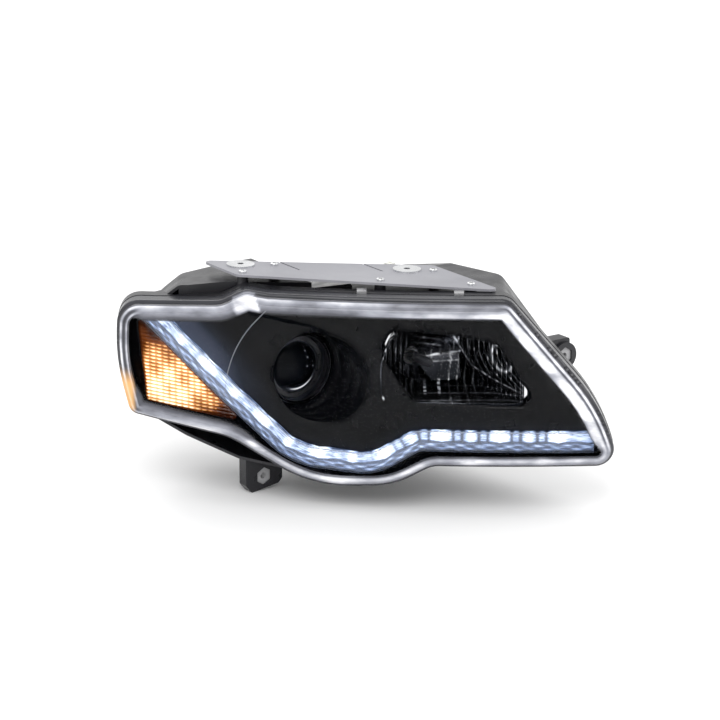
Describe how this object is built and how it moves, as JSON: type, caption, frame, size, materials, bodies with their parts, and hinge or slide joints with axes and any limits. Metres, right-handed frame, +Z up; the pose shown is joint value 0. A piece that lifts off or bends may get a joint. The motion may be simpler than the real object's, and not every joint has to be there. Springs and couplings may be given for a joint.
{
  "type": "car headlight assembly",
  "caption": "Swept-back car headlight with a projector low beam, reflector high beam, light strip and amber turn signal.",
  "frame": {"origin": "midway between the two upper fixing holes, on the top face of the mounting plate", "axes": "-Y to the front of the car, +X inboard, +Z up, for a lamp on the right-hand side of the car"},
  "size_m": [0.4041, 0.4328, 0.245],
  "materials": {
    "black_casing": "moulded black polypropylene",
    "lens_clear": "clear hard-coated polycarbonate",
    "seal_black": "butyl bead",
    "rubber_black": "soft moulded rubber",
    "spring_steel": "bright spring steel",
    "zinc_steel": "zinc plated steel",
    "bezel_gloss": "gloss black bezel",
    "trim_chrome": "bright plated plastic",
    "mirror_chrome": "vacuum metallised reflector",
    "drl_optic": "clear moulded optic",
    "board_green": "circuit board",
    "led_white": "white LED package",
    "amber_lens": "amber prismatic lens",
    "amber_glass": "amber bulb glass",
    "plate_grey": "grey moulded plate",
    "insert_grey": "pale grey nylon sleeve",
    "grey_plastic": "dark grey moulding",
    "frame_plastic": "glass filled frame",
    "lens_glass": "clear aspheric glass",
    "holder_metal": "die cast holder",
    "bulb_quartz": "quartz capsule",
    "bulb_metal": "bulb collar and tail",
    "contact_brass": "tinned contact pins",
    "driver_alu": "cast driver case",
    "white_nylon": "white nylon"
  },
  "bodies": {
    "lamp_body": {"housing": "black_casing", "seal_bead": "seal_black", "lens_cover": "lens_clear", "lens_clips": "spring_steel", "bezel": "bezel_gloss", "projector_trim_ring": "trim_chrome", "drl_reflector_strip": "mirror_chrome", "drl_light_guide": "drl_optic", "drl_circuit_board": "board_green", "drl_leds": "led_white", "turn_lens_amber": "amber_lens", "turn_reflector": "mirror_chrome", "turn_socket_seal": "rubber_black", "top_plate": "plate_grey", "top_washers": "zinc_steel", "top_plate_screws": "zinc_steel", "lower_hex_insert": "insert_grey", "side_hex_insert": "insert_grey", "pivot_ball_stud": "zinc_steel", "levelling_motor": "grey_plastic", "horizontal_adjuster_gearbox": "grey_plastic", "low_cap_seal": "rubber_black", "high_cap_seal": "rubber_black", "main_connector": "grey_plastic", "connector_pins": "contact_brass", "led_driver": "driver_alu", "vent_cap": "rubber_black"},
    "pivot": {"pivot_socket": "white_nylon"},
    "aimed_optics": {"carrier_frame": "frame_plastic", "projector_lens": "lens_glass", "projector_lens_holder": "holder_metal", "projector_screws": "zinc_steel", "cutoff_shield": "spring_steel", "projector_reflector": "holder_metal", "low_bulb_glass": "bulb_quartz", "low_bulb_base": "bulb_metal", "high_beam_reflector": "mirror_chrome", "high_bulb_glass": "bulb_quartz", "high_bulb_base": "bulb_metal"},
    "low_clip": {"low_bulb_clip": "spring_steel"},
    "high_clip": {"high_bulb_clip": "spring_steel"},
    "levelling_rod": {"levelling_motor_rod": "white_nylon"},
    "horizontal_rod": {"horizontal_adjuster_rod": "white_nylon"},
    "vertical_knob": {"vertical_adjuster_knob": "white_nylon"},
    "horizontal_knob": {"horizontal_adjuster_knob": "white_nylon"},
    "low_cap": {"low_beam_cap": "rubber_black"},
    "high_cap": {"high_beam_cap": "rubber_black"},
    "turn_socket": {"turn_bulb_socket": "grey_plastic", "turn_bulb_glass": "amber_glass"}
  },
  "joints": [
    {"name": "aim_sideways", "type": "hinge", "parent": "lamp_body", "child": "pivot", "pos_m": [-0.07, 0.012, -0.048], "axis": [0, 0, 1], "range_deg": [-1.5, 1.5]},
    {"name": "aim_up_down", "type": "hinge", "parent": "pivot", "child": "aimed_optics", "pos_m": [-0.07, 0.012, -0.048], "axis": [1, 0, 0], "range_deg": [-2, 2]},
    {"name": "levelling_rod_slide", "type": "slide", "parent": "lamp_body", "child": "levelling_rod", "axis": [0, 1, 0], "range_m": [-0.0038, 0.0038]},
    {"name": "horizontal_rod_slide", "type": "slide", "parent": "lamp_body", "child": "horizontal_rod", "axis": [0, 1, 0], "range_m": [-0.0051, 0.0051]},
    {"name": "vertical_knob_turn", "type": "hinge", "parent": "lamp_body", "child": "vertical_knob", "pos_m": [-0.06, 0.156, -0.157], "axis": [0, 1, 0], "range_deg": [-340, 340]},
    {"name": "horizontal_knob_turn", "type": "hinge", "parent": "lamp_body", "child": "horizontal_knob", "pos_m": [0.129, 0.061, -0.036], "axis": [0, 0, 1], "range_deg": [-450, 450]},
    {"name": "low_cap_turn", "type": "hinge", "parent": "lamp_body", "child": "low_cap", "pos_m": [-0.038, 0.14, -0.102], "axis": [0, 1, 0], "range_deg": [0, 35]},
    {"name": "high_cap_turn", "type": "hinge", "parent": "lamp_body", "child": "high_cap", "pos_m": [0.076, 0.062, -0.097], "axis": [0, 1, 0], "range_deg": [0, 35]},
    {"name": "turn_socket_turn", "type": "hinge", "parent": "lamp_body", "child": "turn_socket", "pos_m": [-0.138, 0.127, -0.104], "axis": [0, 1, 0], "range_deg": [0, 45]},
    {"name": "low_clip_swing", "type": "hinge", "parent": "aimed_optics", "child": "low_clip", "pos_m": [-0.038, 0.0934, -0.12], "axis": [1, 0, 0], "range_deg": [-30, 0]},
    {"name": "high_clip_swing", "type": "hinge", "parent": "aimed_optics", "child": "high_clip", "pos_m": [0.076, -0.0396, -0.115], "axis": [1, 0, 0], "range_deg": [-70, 0]}
  ],
  "couplings": [
    {"joint": "levelling_rod_slide", "follows": "aim_up_down", "m_per_rad": 0.106},
    {"joint": "horizontal_rod_slide", "follows": "aim_sideways", "m_per_rad": 0.19},
    {"joint": "vertical_knob_turn", "follows": "aim_up_down", "ratio": 166.5},
    {"joint": "horizontal_knob_turn", "follows": "aim_sideways", "ratio": 298.45}
  ]
}
